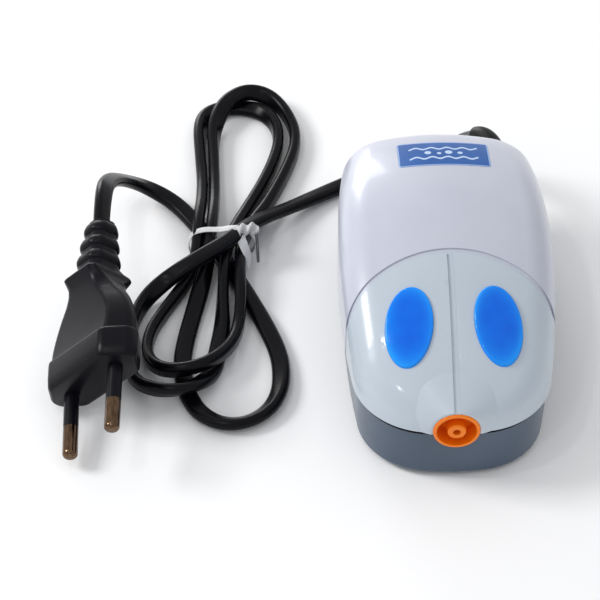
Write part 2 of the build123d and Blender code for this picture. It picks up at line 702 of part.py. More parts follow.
def cord_tube(name, points):
    """One uncoiled stretch of the cord; prints its arcs and checks its volume."""
    radii = route_radii(points)
    path = FilletPolyline(*points, radius=radii)
    tube = sweep(Plane(origin=path @ 0, z_dir=path % 0) * Circle(CORD_R), path=path)
    expected = pi * CORD_R**2 * path.length
    print(name, "length", round(path.length, 1), "volume ratio", round(tube.volume / expected, 4))
    print(name, "radii", [round(r, 1) for r in radii])
    return tube


LEAD_ROUTE = [
    BOOT_END,
    (10.2, 62.9, 16.2),
    (7.0, 64.6, 11.4),
    (2.0, 66.2, 7.2),
    (-5.0, 66.8, 4.2),
    (-13.0, 66.1, 2.6),
    (-22.0, 62.8, 2.05),
    (-31.0, 57.6, 2.1),
    (-40.5, 50.0, 3.6),
    (-49.8, 40.8, 8.3),
]

TAIL_ROUTE = [
    (-67.0, 48.5, 1.95),
    (-72.5, 55.5, 2.1),
    (-79.5, 58.8, 4.6),
    (-86.0, 54.5, 11.8),
    (-89.8, 45.5, 20.4),
    (-90.8, 34.1, 25.85),
    (-91.0, 23.9, 23.9),
]

HANK_TOP_Z = 6.6
TIE_XY = (-59.5, 39.5)
TIE_T = 0.8


def teardrop(far, far_r, near, near_r):
    """A plan outline: a large circle and a small one with straight sides between them."""
    circles = [Pos(*far) * Circle(far_r), Pos(*near) * Circle(near_r)]
    return make_hull(circles[0].edges() + circles[1].edges())


def loop_of_cord(far, far_r, near, strands):
    """A teardrop-shaped loop that narrows towards the tie; strands is its width of cord."""
    outer = teardrop(far, far_r, near, 8.5)
    centre_way = (Vector(*far) - Vector(*near)).normalized() * 14
    inner_near = (near[0] + centre_way.X, near[1] + centre_way.Y)
    inner = teardrop(far, far_r - strands, inner_near, 1.5)
    return extrude(outer - inner, HANK_TOP_Z)


def cord_hank():
    """The outer shape of the tied bundle: one loop behind the tie and two in front of it."""
    rear = loop_of_cord((-51.5, 85.5), 17.0, TIE_XY, 9.0)
    front_left = loop_of_cord((-71.0, -3.5), 16.5, TIE_XY, 9.0)
    front_right = loop_of_cord((-57.0, -15.6), 16.4, TIE_XY, 6.6)
    waist = span((-69, -50), (29, 50), (0, 11.4))
    waist = fillet(waist.edges().filter_by(Axis.Y).group_by(Axis.Z)[-1], 4.0)
    bundle = joined([rear, front_left, front_right, waist])
    return bundle - tie_band(0.02)


def tie_band(clearance):
    """The band of the twist tie around the waist of the bundle, grown all round by clearance."""
    x, y, z = (-69.0, -49.4), (35.0, 37.6), (0.05, 12.0)
    outer = span(*[(low - clearance, high + clearance) for low, high in (x, y, z)])
    inner_x = (x[0] + TIE_T + clearance, x[1] - TIE_T - clearance)
    inner_z = (z[0] + TIE_T + clearance, z[1] - TIE_T - clearance)
    return outer - span(inner_x, (y[0] - 1, y[1] + 1), inner_z)


def twist_tie():
    """The band and the short twisted end on top of it."""
    knot = Pos(-53.0, 36.3, 12.45) * Rot(0, 84, 12) * Cylinder(1.0, 12, align=ON_FLOOR)
    return tie_band(0) + knot


# the plug's own frame: origin in the middle of its face, pins along -Y, width along X
PLUG_PLACE = Pos(-92.2, -25.2, 14.5)
PLUG_YAW = -1.1
PLUG_PITCH = 10.8
PLUG_ROLL = -49.2
PIN_SPACING_ROOT = 18.6
PIN_SPACING_TIP = 17.5
PIN_LENGTH = 19.0
SLEEVE_LENGTH = 10.0
PLUG_PIN_R = 2.0
PLUG_DEPTH = 34.0
PLUG_BOOT_LENGTH = 16.0

# cross-sections of the plug: distance behind its face, width, depth, and how far its corners are cut
FACE_BLOCK = [
    (0.0, 31.6, 12.2, 4.9),
    (1.0, 33.0, 13.4, 5.4),
    (8.3, 33.4, 13.7, 5.5),
    (9.0, 32.4, 11.6, 4.7),
]
GRIP = [
    (9.0, 32.4, 11.6, 4.7),
    (12.0, 32.0, 10.4, 4.2),
    (15.4, 30.6, 9.8, 3.9),
    (20.0, 26.6, 9.8, 3.9),
    (25.5, 18.2, 10.8, 3.2),
    (29.2, 13.6, 12.2, 2.0),
]
FLANGE = [
    (29.2, 13.6, 12.2, 2.0),
    (31.0, 13.2, 14.6, 1.0),
    (32.4, 11.0, 12.0, 1.4),
    (34.0, 9.8, 10.0, 1.8),
]
STRAIN_RELIEF = [(34.0, 9.8, 10.0, 1.8), (42.0, 8.4, 8.6, 1.7), (50.0, 6.2, 6.4, 1.5)]
RIB_STARTS = (35.2, 40.2, 45.2)
RIB_LENGTH = 3.4


def posed(shape):
    """Move a shape from the plug's own frame to where the plug lies."""
    turn = Rot(0, 0, PLUG_YAW) * Rot(PLUG_PITCH, 0, 0) * Rot(0, PLUG_ROLL, 0)
    return PLUG_PLACE * turn * shape


def plug_section(y, width, depth, cut):
    """One cross-section of the plug, an oblong with cut corners, facing along its length."""
    facing = Plane(origin=(0, y, 0), x_dir=(1, 0, 0), z_dir=(0, 1, 0))
    oblong = Rectangle(width, depth)
    return facing * chamfer(oblong.vertices(), cut)


def plug_stretch(sections):
    """One stretch of the plug, lofted through its cross-sections."""
    return loft([plug_section(*section) for section in sections], ruled=True)


def plug_body():
    """The moulded plug: an eight-sided face block, a narrowing grip behind it, a square flange."""
    solid = plug_stretch(FACE_BLOCK) + plug_stretch(GRIP) + plug_stretch(FLANGE)
    for side in (-1, 1):
        solid -= pin_rod(side, SLEEVE_LENGTH, 2.0, PLUG_PIN_R)
    return posed(solid)


def pin_rod(side, reach, inset, radius):
    """A pin along its leaning axis, from inset inside the face to reach outside it."""
    lean = (PIN_SPACING_ROOT - PIN_SPACING_TIP) / 2 / PIN_LENGTH
    direction = Vector(-side * lean, -1, 0).normalized()
    root = Vector(side * PIN_SPACING_ROOT / 2, 0, 0) - direction * inset
    return Plane(origin=root, z_dir=direction) * Cylinder(radius, reach + inset, align=ON_FLOOR)


def pin_sleeves():
    """The black insulated first half of each pin."""
    sleeves = []
    for side in (-1, 1):
        sleeve = pin_rod(side, SLEEVE_LENGTH, 2.0, PLUG_PIN_R)
        sleeves.append(posed(sleeve - pin_rod(side, SLEEVE_LENGTH, 2.0, PLUG_PIN_R - 0.4)))
    return Compound(children=sleeves)


def plug_pins():
    """The two metal pins with rounded ends."""
    pins = []
    for side in (-1, 1):
        core = pin_rod(side, SLEEVE_LENGTH, 2.0, PLUG_PIN_R - 0.4)
        metal = pin_rod(side, PIN_LENGTH, -SLEEVE_LENGTH, PLUG_PIN_R)
        tip = metal.edges().filter_by(GeomType.CIRCLE).group_by(Axis.Y)[0]
        pins.append(posed(core + fillet(tip, 1.2)))
    return Compound(children=pins)


def plug_boot():
    """The strain relief between the plug and its cord: a tapered core with three square ribs."""
    core = plug_stretch(STRAIN_RELIEF)
    for start in RIB_STARTS:
        share = (start - PLUG_DEPTH) / PLUG_BOOT_LENGTH
        width = 10.6 - 2.6 * share
        rib = plug_section(start, width, width + 0.2, 1.8)
        core += extrude(rib, RIB_LENGTH)
    return posed(core)


# ---- write every node ---------------------------------------------------------------------------
def main():
    """Build each sub-part and write it to its own file."""
    makers = [
        top_cover, base_tub, label_plate, case_screws, rubber_feet, intake_filter, filter_grille,
        nose_outlet, core_laminations, coil_bobbin, coil_winding, core_screws, swing_arm,
        magnet_yoke, arm_magnets, pivot_bracket, arm_pivot_pin, valve_body, valve_gasket,
        plenum_box, diaphragm, diaphragm_ring, diaphragm_washers, diaphragm_screw, block_screws,
        inlet_flap, outlet_flap, outlet_hose, cord_clamp, clamp_screws, cord_inside, coil_leads,
        cord_boot, cord_hank, twist_tie, plug_body, pin_sleeves, plug_pins, plug_boot,
    ]
    for make in makers:
        write(make.__name__, make())
    write("left_eye_insert", eye_insert(-1))
    write("right_eye_insert", eye_insert(1))
    write("cord_lead", cord_tube("cord_lead", LEAD_ROUTE))
    write("cord_tail", cord_tube("cord_tail", TAIL_ROUTE))


main()
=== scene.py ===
"""Looks of the aquarium air pump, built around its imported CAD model.

Metres, +Z up, the air outlet towards -Y, the floor at z = 0.
"""
import json
from math import cos, pi, radians, sin

import bmesh
import bpy
from mathutils import Matrix, Vector


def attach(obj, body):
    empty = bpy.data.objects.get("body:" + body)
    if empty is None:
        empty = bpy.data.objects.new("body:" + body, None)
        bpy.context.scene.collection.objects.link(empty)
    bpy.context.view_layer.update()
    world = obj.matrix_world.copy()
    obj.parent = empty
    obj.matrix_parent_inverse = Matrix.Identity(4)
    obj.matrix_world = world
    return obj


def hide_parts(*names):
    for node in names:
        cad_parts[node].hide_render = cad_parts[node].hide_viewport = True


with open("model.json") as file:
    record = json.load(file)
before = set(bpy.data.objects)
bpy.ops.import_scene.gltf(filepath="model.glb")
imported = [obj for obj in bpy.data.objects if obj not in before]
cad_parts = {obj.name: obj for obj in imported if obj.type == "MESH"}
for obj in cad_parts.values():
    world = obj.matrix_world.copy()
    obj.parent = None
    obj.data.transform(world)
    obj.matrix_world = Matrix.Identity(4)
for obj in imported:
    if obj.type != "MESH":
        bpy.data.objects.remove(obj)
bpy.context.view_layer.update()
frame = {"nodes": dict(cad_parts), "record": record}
NODES = frame["nodes"]
COLLECTION = bpy.context.scene.collection
MM = 0.001
UP = Vector((0, 0, 1))

# the mains cord: a flat twin lead that stands on edge in its loops
CORD_WIDTH = 0.00495
CORD_THICKNESS = 0.0031

# each point of the cord's line: x, y, z in metres, and how far it is rolled on edge in degrees
LEAD = [
    (0.0128, 0.0612, 0.01995, 0),
    (0.0100, 0.0636, 0.0174, 0),
    (0.0068, 0.0654, 0.0132, 0),
    (0.0022, 0.0666, 0.0082, 0),
    (-0.0050, 0.0668, 0.0044, 0),
    (-0.0130, 0.0661, 0.0026, 0),
    (-0.0220, 0.0628, 0.0020, 0),
    (-0.0310, 0.0574, 0.0022, -10),
    (-0.0405, 0.0497, 0.0042, -25),
    (-0.0498, 0.0403, 0.0085, -20),
]
FIRST_FRONT_LOOP = [
    (-0.0540, 0.0345, 0.0099, -5),
    (-0.0582, 0.0298, 0.0101, 0),
    (-0.0635, 0.0259, 0.0099, 0),
    (-0.0695, 0.0226, 0.0082, 0),
    (-0.0755, 0.0198, 0.0050, 30),
    (-0.0803, 0.0155, 0.0028, 65),
    (-0.0832, 0.0080, 0.0025, 90),
    (-0.0846, -0.0020, 0.0025, 90),
    (-0.0843, -0.0095, 0.0027, 85),
    (-0.0815, -0.0160, 0.0036, 80),
    (-0.0765, -0.0198, 0.0050, 75),
    (-0.0703, -0.0209, 0.0059, 60),
    (-0.0652, -0.0183, 0.0054, 20),
    (-0.0617, -0.0115, 0.0018, 0),
    (-0.0603, -0.0032, 0.0016, 0),
    (-0.0591, 0.0050, 0.0023, 40),
    (-0.0589, 0.0140, 0.0034, 80),
    (-0.0586, 0.0220, 0.0052, 90),
    (-0.0580, 0.0300, 0.0061, 90),
]
FIRST_REAR_LOOP = [
    (-0.0564, 0.0380, 0.0052, 90),
    (-0.0543, 0.0445, 0.0040, 90),
    (-0.0512, 0.0525, 0.0028, 90),
    (-0.0475, 0.0612, 0.0025, 90),
    (-0.0442, 0.0705, 0.0025, 90),
    (-0.0423, 0.0792, 0.0025, 90),
    (-0.0430, 0.0875, 0.0025, 80),
    (-0.0470, 0.0938, 0.0022, 40),
    (-0.0530, 0.0962, 0.0017, 0),
    (-0.0592, 0.0960, 0.0016, 0),
    (-0.0636, 0.0925, 0.0020, 20),
    (-0.0654, 0.0850, 0.0025, 70),
    (-0.0652, 0.0750, 0.0026, 90),
    (-0.0645, 0.0640, 0.0026, 90),
    (-0.0646, 0.0540, 0.0040, 90),
    (-0.0652, 0.0465, 0.0058, 90),
]
SECOND_FRONT_LOOP = [
    (-0.0656, 0.0385, 0.0061, 90),
    (-0.0660, 0.0315, 0.0048, 90),
    (-0.0676, 0.0250, 0.0032, 90),
    (-0.0708, 0.0186, 0.0026, 90),
    (-0.0750, 0.0110, 0.0025, 90),
    (-0.0784, 0.0035, 0.0026, 90),
    (-0.0794, -0.0042, 0.0031, 90),
    (-0.0773, -0.0106, 0.0044, 85),
    (-0.0724, -0.0140, 0.0059, 80),
    (-0.0662, -0.0138, 0.0070, 70),
    (-0.0606, -0.0104, 0.0068, 75),
    (-0.0567, -0.0040, 0.0050, 85),
    (-0.0547, 0.0034, 0.0037, 90),
    (-0.0540, 0.0115, 0.0044, 90),
    (-0.0540, 0.0190, 0.0060, 90),
    (-0.0540, 0.0260, 0.0060, 90),
    (-0.0538, 0.0330, 0.0052, 90),
]
SECOND_REAR_LOOP = [
    (-0.0527, 0.0385, 0.0043, 90),
    (-0.0504, 0.0450, 0.0034, 90),
    (-0.0467, 0.0520, 0.0026, 90),
    (-0.0434, 0.0595, 0.0025, 90),
    (-0.0404, 0.0675, 0.0025, 90),
    (-0.0380, 0.0755, 0.0025, 90),
    (-0.0374, 0.0838, 0.0026, 90),
    (-0.0400, 0.0924, 0.0028, 90),
    (-0.0450, 0.0984, 0.0041, 60),
    (-0.0514, 0.0994, 0.0053, 20),
    (-0.0568, 0.0954, 0.0056, 0),
    (-0.0598, 0.0893, 0.0048, 30),
    (-0.0613, 0.0825, 0.0033, 70),
    (-0.0613, 0.0750, 0.0027, 90),
    (-0.0610, 0.0640, 0.0025, 90),
    (-0.0610, 0.0540, 0.0036, 90),
    (-0.0614, 0.0465, 0.0054, 90),
]
LAST_FRONT_LOOP = [
    (-0.0619, 0.0395, 0.0061, 90),
    (-0.0625, 0.0325, 0.0055, 80),
    (-0.0637, 0.0248, 0.0038, 50),
    (-0.0655, 0.0168, 0.0024, 20),
    (-0.0673, 0.0090, 0.0018, 0),
    (-0.0689, 0.0010, 0.0016, 0),
    (-0.0698, -0.0060, 0.0016, 0),
    (-0.0694, -0.0130, 0.0016, 0),
    (-0.0680, -0.0196, 0.0016, 0),
    (-0.0650, -0.0256, 0.0018, 10),
    (-0.0595, -0.0297, 0.0021, 30),
    (-0.0530, -0.0296, 0.0022, 40),
    (-0.0472, -0.0256, 0.0022, 40),
    (-0.0440, -0.0190, 0.0021, 30),
    (-0.0433, -0.0115, 0.0018, 15),
    (-0.0440, -0.0040, 0.0016, 0),
    (-0.0468, 0.0050, 0.0016, 0),
    (-0.0506, 0.0144, 0.0016, 0),
    (-0.0550, 0.0246, 0.0016, 0),
    (-0.0592, 0.0334, 0.0016, 0),
    (-0.0632, 0.0412, 0.0016, 0),
]
TAIL = [
    (-0.0674, 0.0487, 0.0016, 0),
    (-0.0725, 0.0555, 0.0021, 0),
    (-0.0795, 0.0588, 0.0046, 0),
    (-0.0860, 0.0545, 0.0118, 0),
    (-0.0898, 0.0455, 0.0204, 20),
    (-0.0908, 0.0341, 0.02585, 40),
    (-0.0910, 0.0239, 0.0239, 49),
]
CORD_ROUTE = (
    LEAD + FIRST_FRONT_LOOP + FIRST_REAR_LOOP + SECOND_FRONT_LOOP + SECOND_REAR_LOOP
    + LAST_FRONT_LOOP + TAIL
)


# ---- camera, floor and light --------------------------------------------------------------------
CAMERA_PLACE = (-0.05035, -0.49707, 0.5166)
CAMERA_DOWN = 45.1
CAMERA_TURN = -1.4
CAMERA_LENS = 159.8
FLOOR_SIZE = 6
FLOOR_WHITE = (0.97, 0.97, 0.97)
SKY_WHITE = (0.97, 0.98, 1.0, 1)
SKY_STRENGTH = 0.68

# name, place, the point it shines at, side length in metres and power in watts
LIGHTS = [
    ("rear_left_softbox", (-0.42, 1.15, 0.24), (0, 0.02, 0.03), 0.5, 4),
    ("left_softbox", (-1.00, 0.15, 0.80), (0, 0, 0), 0.4, 8),
    ("top_left_lamp", (-0.40, -0.15, 1.00), (0, -0.02, 0.03), 0.045, 0.5),
    ("front_left_softbox", (-0.35, -0.50, 0.90), (0, -0.02, 0.02), 0.05, 0.35),
]


def make_camera():
    """A long lens from in front and above, turned a little off the pump's axis."""
    data = bpy.data.cameras.new("camera")
    data.sensor_width = 36
    data.lens = CAMERA_LENS
    camera = bpy.data.objects.new("camera", data)
    camera.location = CAMERA_PLACE
    camera.rotation_euler = (radians(90 - CAMERA_DOWN), 0, radians(CAMERA_TURN))
    COLLECTION.objects.link(camera)
    bpy.context.scene.camera = camera


def area_light(name, place, aim, size, power):
    """A square softbox at place that shines towards aim."""
    data = bpy.data.lights.new(name, "AREA")
    data.size = size
    data.energy = power
    light = bpy.data.objects.new(name, data)
    light.location = place
    light.rotation_euler = (Vector(aim) - Vector(place)).to_track_quat("-Z", "Y").to_euler()
    COLLECTION.objects.link(light)


def make_studio():
    """A plain white floor under soft light from all round, with four lamps for the highlights."""
    bpy.ops.mesh.primitive_plane_add(size=FLOOR_SIZE)
    floor = bpy.context.object
    floor.name = "floor"
    paper = plastic("paper", FLOOR_WHITE, 0.9)
    shader_of(paper).inputs["Specular IOR Level"].default_value = 0.1
    floor.data.materials.append(paper)
    world = bpy.context.scene.world or bpy.data.worlds.new("world")
    bpy.context.scene.world = world
    world.use_nodes = True
    sky = world.node_tree.nodes["Background"]
    sky.inputs["Color"].default_value = SKY_WHITE
    sky.inputs["Strength"].default_value = SKY_STRENGTH
    for light in LIGHTS:
        area_light(*light)
    bpy.context.scene.view_settings.view_transform = "Standard"


# ---- materials ----------------------------------------------------------------------------------
def plastic(name, color, roughness, coat=0.0, metallic=0.0):
    """A new node material with one principled shader."""
    made = bpy.data.materials.new(name)
    made.use_nodes = True
    shader = shader_of(made)
    shader.inputs["Base Color"].default_value = (*color, 1)
    shader.inputs["Roughness"].default_value = roughness
    shader.inputs["Metallic"].default_value = metallic
    shader.inputs["Coat Weight"].default_value = coat
    shader.inputs["Coat Roughness"].default_value = 0.08
    return made


def shader_of(made):
    """The material's one shader."""
    return made.node_tree.nodes["Principled BSDF"]


def object_place(made):
    """The object's own coordinates, in metres, as one vector."""
    return made.node_tree.nodes.new("ShaderNodeTexCoord").outputs["Object"]


def set_color(made, color):
    """Gives the shader its colour from another node's output."""
    made.node_tree.links.new(color, shader_of(made).inputs["Base Color"])


def set_bump(made, height, strength, depth):
    """Bumps from a height value; depth is in metres."""
    tree = made.node_tree
    bump = tree.nodes.new("ShaderNodeBump")
    bump.inputs["Strength"].default_value = strength
    bump.inputs["Distance"].default_value = depth
    tree.links.new(height, bump.inputs["Height"])
    tree.links.new(bump.outputs["Normal"], shader_of(made).inputs["Normal"])


def noise(made, scale, detail=3.0, stretch=(1, 1, 1)):
    """A noise value over the object's own coordinates; scale is in lumps per metre."""
    tree = made.node_tree
    mapping = tree.nodes.new("ShaderNodeMapping")
    mapping.inputs["Scale"].default_value = stretch
    texture = tree.nodes.new("ShaderNodeTexNoise")
    texture.inputs["Scale"].default_value = scale
    texture.inputs["Detail"].default_value = detail
    tree.links.new(object_place(made), mapping.inputs["Vector"])
    tree.links.new(mapping.outputs["Vector"], texture.inputs["Vector"])
    return texture.outputs["Fac"]


def ramp(made, value, low, high):
    """A smooth colour between low and high as value goes from 0.3 to 0.7."""
    blend = made.node_tree.nodes.new("ShaderNodeValToRGB")
    blend.color_ramp.elements[0].position = 0.3
    blend.color_ramp.elements[1].position = 0.7
    blend.color_ramp.elements[0].color = (*low, 1)
    blend.color_ramp.elements[1].color = (*high, 1)
    made.node_tree.links.new(value, blend.inputs["Fac"])
    return blend.outputs["Color"]


def grain(made, scale, strength, depth, detail=2.0, stretch=(1, 1, 1)):
    """Fine bumps on a material."""
    set_bump(made, noise(made, scale, detail, stretch), strength, depth)


def mottle(made, scale, low, high, stretch=(1, 1, 1)):
    """Slow colour changes over a material."""
    set_color(made, ramp(made, noise(made, scale, 3.0, stretch), low, high))


def uneven_gloss(made, scale, low, high):
    """Handling marks: roughness that changes slowly between low and high."""
    tree = made.node_tree
    spread = tree.nodes.new("ShaderNodeMapRange")
    spread.inputs["From Min"].default_value = 0.3
    spread.inputs["From Max"].default_value = 0.7
    spread.inputs["To Min"].default_value = low
    spread.inputs["To Max"].default_value = high
    tree.links.new(noise(made, scale), spread.inputs["Value"])
    tree.links.new(spread.outputs["Result"], shader_of(made).inputs["Roughness"])


def moulded(name, low, high, roughness, coat=0.0, shine=0.5):
    """Injection-moulded plastic: a hint of colour flow, uneven gloss and a fine orange peel."""
    made = plastic(name, high, roughness, coat)
    shader_of(made).inputs["Specular IOR Level"].default_value = shine
    mottle(made, 60, low, high)
    uneven_gloss(made, 90, roughness * 0.85, roughness * 1.2)
    grain(made, 900, 0.06, 0.0002)
    return made


def place_in_object(made):
    """The x, y and z of a point on the object, in metres."""
    split = made.node_tree.nodes.new("ShaderNodeSeparateXYZ")
    made.node_tree.links.new(object_place(made), split.inputs["Vector"])
    return split.outputs["X"], split.outputs["Y"], split.outputs["Z"]


def math(made, operation, *values):
    """The result of one math node; each value is a number or another node's output."""
    node = made.node_tree.nodes.new("ShaderNodeMath")
    node.operation = operation
    for socket, value in zip(node.inputs, values):
        if isinstance(value, (int, float)):
            socket.default_value = value
        else:
            made.node_tree.links.new(value, socket)
    return node.outputs["Value"]


def blend_colors(made, share, first, second):
    """From the first colour to the second as share goes from 0 to 1."""
    mix = made.node_tree.nodes.new("ShaderNodeMix")
    mix.data_type = "RGBA"
    made.node_tree.links.new(share, mix.inputs["Factor"])
    for socket, color in ((mix.inputs["A"], first), (mix.inputs["B"], second)):
        if isinstance(color, tuple):
            socket.default_value = (*color, 1)
        else:
            made.node_tree.links.new(color, socket)
    return mix.outputs["Result"]


def sum_of_squares(made, first, second):
    """The squares of two values, added up."""
    first_square = math(made, "MULTIPLY", first, first)
    second_square = math(made, "MULTIPLY", second, second)
    return math(made, "ADD", first_square, second_square)


# the arc across the front of the cover, in metres
ARC_CENTRE_Y = -0.0418
ARC_RADIUS = 0.034


def pearl_cover():
    """Pearly grey-lavender gloss, slightly greener inside the arc across the front of the top."""
    made = plastic("pearl_plastic", (0.56, 0.57, 0.63), 0.3, 0.35)
    rear = ramp(made, noise(made, 45), (0.50, 0.52, 0.605), (0.54, 0.56, 0.645))
    front = ramp(made, noise(made, 45), (0.465, 0.53, 0.595), (0.495, 0.56, 0.625))
    x, y, _ = place_in_object(made)
    along = math(made, "SUBTRACT", y, ARC_CENTRE_Y)
    from_centre = math(made, "SQRT", sum_of_squares(made, x, along))
    beyond = math(made, "GREATER_THAN", from_centre, ARC_RADIUS)
    set_color(made, blend_colors(made, beyond, front, rear))
    uneven_gloss(made, 70, 0.26, 0.34)
    grain(made, 700, 0.04, 0.0002)
    return made


# the eye ovals: the centre of the right one and its half width and half length, in metres
EYE_CENTRE = (0.0113, -0.0279)
EYE_HALF = (0.0061, 0.0099)


def eye_blue():
    """Glossy azure, with a painted sheen that lightens each oval towards its edge."""
    made = plastic("blue_plastic", (0.0, 0.14, 0.76), 0.08, 0.12)
    shader_of(made).inputs["Specular IOR Level"].default_value = 0.22
    x, y, _ = place_in_object(made)
    across = math(made, "SUBTRACT", math(made, "ABSOLUTE", x), EYE_CENTRE[0])
    across = math(made, "DIVIDE", across, EYE_HALF[0])
    along = math(made, "DIVIDE", math(made, "SUBTRACT", y, EYE_CENTRE[1]), EYE_HALF[1])
    squares = sum_of_squares(made, across, along)
    # painted sheen: a lighter blue painted towards each oval's edge, where the domed insert would catch
    # gloss
    painted_sheen_share = math(made, "MINIMUM", math(made, "POWER", squares, 3.0), 1.0)
    body = ramp(made, noise(made, 120), (0.0, 0.12, 0.72), (0.0, 0.17, 0.82))
    set_color(made, blend_colors(made, painted_sheen_share, body, (0.01, 0.30, 0.95)))
    grain(made, 500, 0.03, 0.0002)
    return made


# painted shade: the tub is painted near-black above this height, where it goes in under the cover's lip
PAINTED_SHADE_Z = 0.0165


def tub_slate():
    """Slate plastic, with painted shade making it dark where it goes in under the cover."""
    made = moulded("slate_plastic", (0.050, 0.078, 0.120), (0.062, 0.094, 0.142), 0.32, 0.2, 0.35)
    _, _, z = place_in_object(made)
    # painted shade: above this height the slate turns near-black in place of the shade under the cover's
    # lip
    above = math(made, "GREATER_THAN", z, PAINTED_SHADE_Z)
    slate = shader_of(made).inputs["Base Color"].links[0].from_socket
    set_color(made, blend_colors(made, above, slate, (0.012, 0.016, 0.024)))
    return made


# the label's plate and print, in metres; a bubble is its x, y and radius from the plate's middle
LABEL_MIDDLE = (0.0009, 0.0316)
LABEL_HALF = (0.0122, 0.0066)
BORDER = (0.00035, 0.0004)
WAVE_HALF_LENGTH = 0.0092
WAVE_HALF_LINE = 0.0004
WAVE_HEIGHT = 0.0005
WAVE_RADIANS_PER_METRE = 1500
WAVE_ROWS = (0.0027, -0.0027)
BUBBLES = (
    (-0.0042, 0.0002, 0.0009),
    (-0.0012, -0.0003, 0.0006),
    (0.0014, 0.0003, 0.0010),
    (0.0044, 0.0, 0.0007),
)


def waves_and_bubbles(made, x, y):
    """1 where the label's print is, 0 elsewhere: two wavy lines with bubbles between them."""
    phase = math(made, "MULTIPLY", x, WAVE_RADIANS_PER_METRE)
    ripple = math(made, "MULTIPLY", math(made, "SINE", phase), WAVE_HEIGHT)
    inside = math(made, "LESS_THAN", math(made, "ABSOLUTE", x), WAVE_HALF_LENGTH)
    prints = []
    for row in WAVE_ROWS:
        gap = math(made, "SUBTRACT", math(made, "SUBTRACT", y, row), ripple)
        line = math(made, "LESS_THAN", math(made, "ABSOLUTE", gap), WAVE_HALF_LINE)
        prints.append(math(made, "MULTIPLY", line, inside))
    for centre_x, centre_y, radius in BUBBLES:
        across = math(made, "SUBTRACT", x, centre_x)
        along = math(made, "SUBTRACT", y, centre_y)
        from_centre = math(made, "SQRT", sum_of_squares(made, across, along))
        prints.append(math(made, "LESS_THAN", from_centre, radius))
    pattern = prints[0]
    for extra in prints[1:]:
        pattern = math(made, "MAXIMUM", pattern, extra)
    return pattern


def printed_label():
    """Blue film with a pale border and a plain print."""
    made = moulded("label_blue", (0.010, 0.072, 0.29), (0.020, 0.120, 0.40), 0.3, 0, 0.3)
    x, y, _ = place_in_object(made)
    x = math(made, "SUBTRACT", x, LABEL_MIDDLE[0])
    y = math(made, "SUBTRACT", y, LABEL_MIDDLE[1])
    side = math(made, "GREATER_THAN", math(made, "ABSOLUTE", x), LABEL_HALF[0] - BORDER[0])
    end = math(made, "GREATER_THAN", math(made, "ABSOLUTE", y), LABEL_HALF[1] - BORDER[1])
    film = shader_of(made).inputs["Base Color"].links[0].from_socket
    bordered = blend_colors(made, math(made, "MAXIMUM", side, end), film, (0.28, 0.42, 0.72))
    set_color(made, blend_colors(made, waves_and_bubbles(made, x, y), bordered, (0.50, 0.63, 0.84)))
    return made


def brushed(name, low, high, roughness, stretch):
    """Metal with fine marks along one direction."""
    made = plastic(name, high, roughness, 0, 1.0)
    mottle(made, 300, low, high, stretch)
    grain(made, 1500, 0.12, 0.0001, 2.0, stretch)
    return made


def bands(made, direction, scale, distortion=0.0):
    """A value that goes up and down in bands across one direction."""
    tree = made.node_tree
    waves = tree.nodes.new("ShaderNodeTexWave")
    waves.bands_direction = direction
    waves.inputs["Scale"].default_value = scale
    waves.inputs["Distortion"].default_value = distortion
    tree.links.new(object_place(made), waves.inputs["Vector"])
    return waves.outputs["Fac"]


def laminated():
    """The core's stacked sheets: thin dark lines between bright sheet edges."""
    made = plastic("core_steel", (0.3, 0.31, 0.33), 0.45, 0, 1.0)
    set_color(made, ramp(made, bands(made, "Z", 160, 0.2), (0.09, 0.08, 0.08), (0.36, 0.37, 0.39)))
    return made


def wound_copper():
    """Fine enamelled wire laid side by side."""
    made = plastic("copper", (0.5, 0.18, 0.05), 0.3, 0.4, 1.0)
    wires = bands(made, "Y", 900)
    set_bump(made, wires, 0.6, 0.0002)
    set_color(made, ramp(made, wires, (0.30, 0.09, 0.02), (0.62, 0.24, 0.07)))
    return made


def felt():
    """Loose white fibres."""
    made = plastic("felt", (0.75, 0.74, 0.70), 0.95)
    mottle(made, 900, (0.6, 0.59, 0.55), (0.82, 0.81, 0.77), (1, 1, 4))
    grain(made, 2500, 0.9, 0.0006, 6.0, (1, 1, 4))
    shader_of(made).inputs["Sheen Weight"].default_value = 0.4
    return made


def clear(name, color, roughness, through):
    """See-through plastic."""
    made = plastic(name, color, roughness)
    shader_of(made).inputs["Transmission Weight"].default_value = through
    grain(made, 1200, 0.1, 0.0001)
    return made


# slot: darker colour, lighter colour, roughness, coat and specular level
MOULDED = {
    "orange_plastic": ((0.90, 0.19, 0.002), (0.98, 0.24, 0.004), 0.3, 0.1, 0.3),
    "black_rubber": ((0.004, 0.004, 0.005), (0.007, 0.007, 0.008), 0.45, 0, 0.18),
    "cord_black": ((0.002, 0.002, 0.003), (0.003, 0.003, 0.005), 0.26, 0, 0.14),
    "plug_black": ((0.003, 0.003, 0.005), (0.005, 0.004, 0.007), 0.30, 0, 0.14),
    "bobbin_white": ((0.68, 0.67, 0.62), (0.74, 0.73, 0.69), 0.5),
    "magnet_black": ((0.035, 0.035, 0.037), (0.065, 0.065, 0.068), 0.65),
    "arm_white": ((0.66, 0.66, 0.63), (0.72, 0.72, 0.70), 0.45),
    "valve_grey": ((0.22, 0.24, 0.26), (0.28, 0.30, 0.32), 0.45),
    "wire_jacket": ((0.10, 0.08, 0.17), (0.13, 0.11, 0.22), 0.4),
}
# slot: darker colour, lighter colour, roughness, and how the marks are squeezed along x, y and z
BRUSHED = {
    "tie_wire": ((0.10, 0.10, 0.11), (0.2, 0.2, 0.21), 0.4, (1, 1, 1)),
    "steel": ((0.40, 0.41, 0.43), (0.58, 0.59, 0.61), 0.3, (1, 1, 0.2)),
    "pin_nickel": ((0.08, 0.048, 0.028), (0.19, 0.12, 0.075), 0.12, (6, 1, 6)),
}
